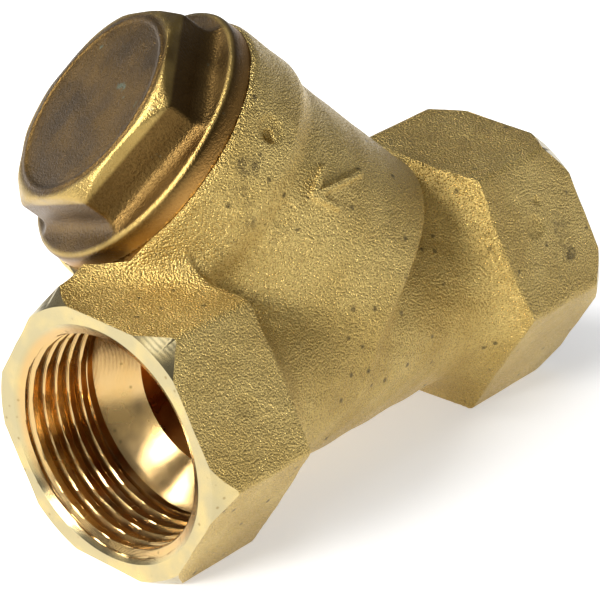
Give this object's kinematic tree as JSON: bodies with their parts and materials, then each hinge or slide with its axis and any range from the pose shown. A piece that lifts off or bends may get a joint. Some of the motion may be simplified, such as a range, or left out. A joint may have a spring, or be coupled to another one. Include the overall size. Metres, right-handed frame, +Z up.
{
  "type": "y strainer",
  "caption": "Brass Y strainer: threaded hexagon ports in line, an inclined branch with a hexagon screw cap, and a perforated tube screen that lifts out with the cap.",
  "frame": {"origin": "centre of the inlet face, on the run axis", "axes": "+X with the flow, from the inlet face to the outlet face; +Z up, square to the hexagon flats it rests on; the branch leans 30 degrees from +Z toward -Y"},
  "size_m": [0.067, 0.0462, 0.0533],
  "materials": {
    "forged_brass": "forged and shot-blasted, machined ends and threads",
    "cap_brass": "forged, darkened",
    "gasket": "plain sheet ring",
    "screen_steel": "perforated sheet"
  },
  "bodies": {
    "body": {"body": "forged_brass"},
    "insert": {"gasket": "gasket", "screen": "screen_steel"},
    "cap": {"cap": "cap_brass"}
  },
  "joints": [
    {"name": "cap_lift", "type": "slide", "parent": "body", "child": "insert", "axis": [0.6225, -0.3913, 0.6778], "range_m": [0, 0.00675]},
    {"name": "cap_turn", "type": "hinge", "parent": "insert", "child": "cap", "pos_m": [0.04538, -0.0135, 0.02338], "axis": [0.6225, -0.3913, 0.6778], "range_deg": [0, 1620]}
  ],
  "couplings": [
    {"joint": "cap_lift", "follows": "cap_turn", "m_per_rad": 0.00023873}
  ]
}
